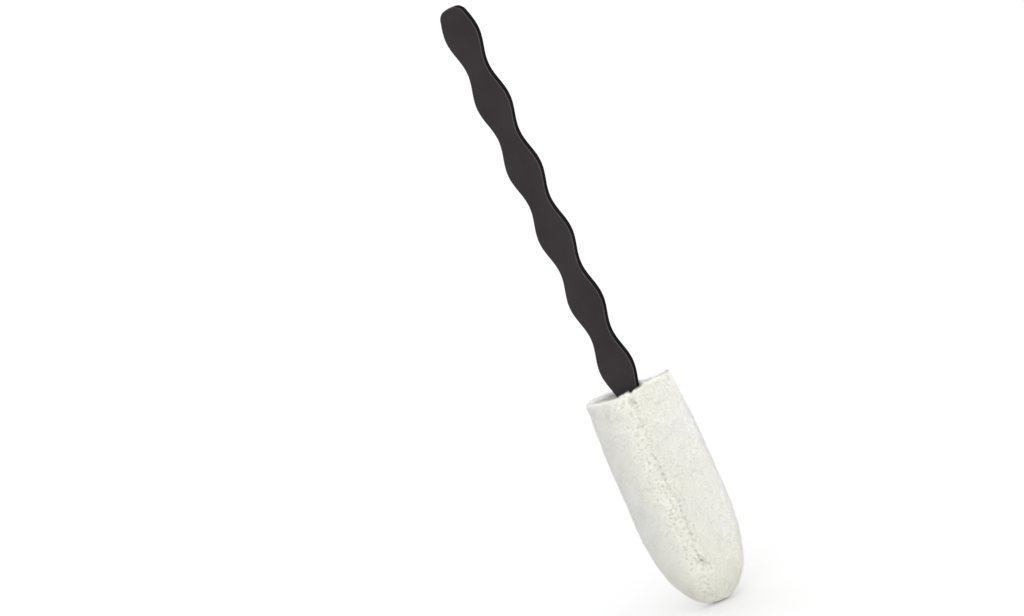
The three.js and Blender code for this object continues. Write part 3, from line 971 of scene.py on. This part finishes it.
# ------------------------------------------------------------------ handle
def blade_half_width(z):
    """The wave, rounded off at the butt and at the toe inside the sleeve."""
    mean = BLADE_HIGH.x - WAVE_HEIGHT
    wave = mean + WAVE_HEIGHT * np.cos(2 * math.pi * (z - WAVE_CREST) / WAVE_LENGTH)

    def cut(from_end, radius):
        into = np.clip((radius - from_end) / radius, 0, 1)
        return radius * (1 - np.sqrt(1 - into**2))

    ends = np.maximum(cut(BLADE_HIGH.z - z, BUTT_RADIUS), cut(z - BLADE_LOW.z, TOE_RADIUS))
    return wave - ends


def blade_ring(half_w, half_t):
    """One ring of the blade, anticlockwise from the front of its +X side, with how pale each
    point is painted, for wear and a painted highlight: most in the middle of a rounded arris, not
    at all on the flats."""
    quarter = np.linspace(0, math.pi / 2, ARRIS_STEPS)
    arc_x = half_w - ARRIS + ARRIS * np.cos(quarter)
    arc_y = half_t - ARRIS + ARRIS * np.sin(quarter)
    arc_x = np.array([half_w, *arc_x, half_w - 1.5 * ARRIS])
    arc_y = np.array([half_t - 1.5 * ARRIS, *arc_y, half_t])
    worn_and_highlit = np.array([0, *np.sin(2 * quarter), 0])
    ring, wear_and_highlight = [], []
    for sign_x, sign_y in ((1, -1), (1, 1), (-1, 1), (-1, -1)):
        order = 1 if sign_x * sign_y > 0 else -1
        ring += zip(sign_x * arc_x[::order], sign_y * arc_y[::order])
        wear_and_highlight += worn_and_highlit[::order].tolist()
    return ring, wear_and_highlight


def flank_faces(rows, around):
    """1 for each face on the blade's narrow flanks and ends, which get the painted-shade copy, 0
    for each on its two flats.
    """
    corner = around // 4
    k = np.arange(around)
    turn = (k + 0.5) % corner
    on_flank = np.where(k // corner % 2 == 0, turn > corner / 2, turn < corner / 2)
    return np.concatenate([np.tile(on_flank, rows - 1), np.ones(2 * around)]).astype(np.int32)


def handle_blade(face, painted_shade_flank):
    """The blade, its arrises softly rounded all round and its flanks painted a deeper black as
    shade.
    """
    low, high = BLADE_LOW.z, BLADE_HIGH.z
    ease = 1 - np.cos(np.linspace(0, math.pi / 2, BLADE_END_ROWS))
    first = low + TOE_RADIUS + BLADE_ROW_GAP
    last = high - BUTT_RADIUS - BLADE_ROW_GAP
    middle = np.linspace(first, last, BLADE_ROWS)
    z = np.concatenate([low + TOE_RADIUS * ease, middle, high - BUTT_RADIUS * ease[::-1]])
    near_end = np.clip((ARRIS - np.minimum(z - low, high - z)) / ARRIS, 0, 1)
    inset = ARRIS * (1 - np.sqrt(1 - near_end**2))
    made = [blade_ring(w, t) for w, t in zip(blade_half_width(z) - inset, BLADE_HIGH.y - inset)]
    rings = np.array([ring for ring, _ in made])
    # Paler at the rounded arrises and ends: wear together with a painted highlight.
    worn_and_highlit = np.maximum(np.array([wear_and_highlight for _, wear_and_highlight in made]), near_end[:, None] * 0.8)
    rows, around = rings.shape[:2]
    grid = np.concatenate([rings, np.broadcast_to(z[:, None, None], (rows, around, 1))], 2)
    points = np.concatenate([grid.reshape(-1, 3), [[0, 0, low], [0, 0, high]]])
    piece = new_piece("blade", points, loft_faces(rows, around), "handle", face, painted_shade_flank)
    give(piece, "edge", [*worn_and_highlit.ravel(), 0, 0])
    piece.data.polygons.foreach_set("material_index", flank_faces(rows, around))
    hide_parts("handle_blade")


# ------------------------------------------------------------------ stage, lights and camera
def soft_sun(name, azimuth, rise, power, spread):
    """A wide, even light from one side, like a large softbox far off."""
    a, e = math.radians(azimuth), math.radians(rise)
    away = Vector((math.sin(a) * math.cos(e), -math.cos(a) * math.cos(e), math.sin(e)))
    lamp = bpy.data.lights.new(name, "SUN")
    lamp.angle = math.radians(spread)
    lamp.energy = power
    holder = bpy.data.objects.new(name, lamp)
    holder.location = away
    holder.rotation_mode = "QUATERNION"
    holder.rotation_quaternion = (-away).to_track_quat("-Z", "Y")
    bpy.context.scene.collection.objects.link(holder)


def studio():
    """A pale floor under a white sky, with a soft key light from the right and a fill behind."""
    size = FLOOR_HALF_SIZE
    mesh = bpy.data.meshes.new("floor")
    corners = [(-size, -size, 0), (size, -size, 0), (size, size, 0), (-size, size, 0)]
    mesh.from_pydata(corners, [], [(0, 1, 2, 3)])
    mesh.materials.append(pale_floor())
    floor = bpy.data.objects.new("floor", mesh)
    bpy.context.scene.collection.objects.link(floor)
    world = bpy.data.worlds.new("studio")
    world.use_nodes = True
    world.node_tree.nodes["Background"].inputs["Color"].default_value = (1, 1, 1, 1)
    world.node_tree.nodes["Background"].inputs["Strength"].default_value = 1.0
    bpy.context.scene.world = world
    soft_sun("key", azimuth=45, rise=27, power=1.4, spread=75)
    soft_sun("fill", azimuth=215, rise=35, power=0.5, spread=60)


def camera():
    """Slightly from the right and above, rolled so that the brush leans to the left."""
    turn, rise, roll = [math.radians(angle) for angle in (VIEW_TURN, VIEW_RISE, VIEW_ROLL)]
    level = math.cos(rise)
    back = Vector((math.sin(turn) * level, -math.cos(turn) * level, math.sin(rise)))
    right = Vector((math.cos(turn), math.sin(turn), 0))
    aim = Vector((0, 0, AIM_HEIGHT)) - right * AIM_LEFT
    data = bpy.data.cameras.new("camera")
    data.lens, data.sensor_width = LENS, SENSOR
    data.clip_start, data.clip_end = 0.05, 60
    eye = bpy.data.objects.new("camera", data)
    eye.location = aim + back * (FIELD * LENS / SENSOR)
    eye.rotation_mode = "QUATERNION"
    eye.rotation_quaternion = (-back).to_track_quat("-Z", "Y") @ Quaternion((0, 0, 1), -roll)
    bpy.context.scene.collection.objects.link(eye)
    bpy.context.scene.camera = eye
    bpy.context.scene.view_settings.view_transform = "Standard"


# ------------------------------------------------------------------ build
camera()
studio()
nap = fleece_nap()
strands = fleece_strands()
thread = sewing_thread()
cover_outer, cover_normals, seam_closeness = fleece_cover(nap, knit_backing())
grow_pile(cover_outer, cover_normals, seam_closeness, strands)
seam_stitches(cover_outer, thread)
tack_stitches("tip_tack_stitches", "seam_tip_tack", cover_outer, thread)
tack_stitches("mouth_tack_stitches", "seam_mouth_tack", cover_outer, thread)
end_seam(thread)
foam = open_cell_foam()
foam_pad("foam_pad_front", foam)
foam_pad("foam_pad_back", foam)
face = charcoal_plastic("charcoal_face", (0.0175, 0.0130, 0.0145), (0.0225, 0.0180, 0.0195), 0.24)
# The flanks' copy is darker and has no shine: painted shade on the narrow sides and ends.
painted_shade_flank = charcoal_plastic("charcoal_flank_painted_shade", (0.0100, 0.0088, 0.0092), (0.0130, 0.0115, 0.0120), 0.0)
handle_blade(face, painted_shade_flank)
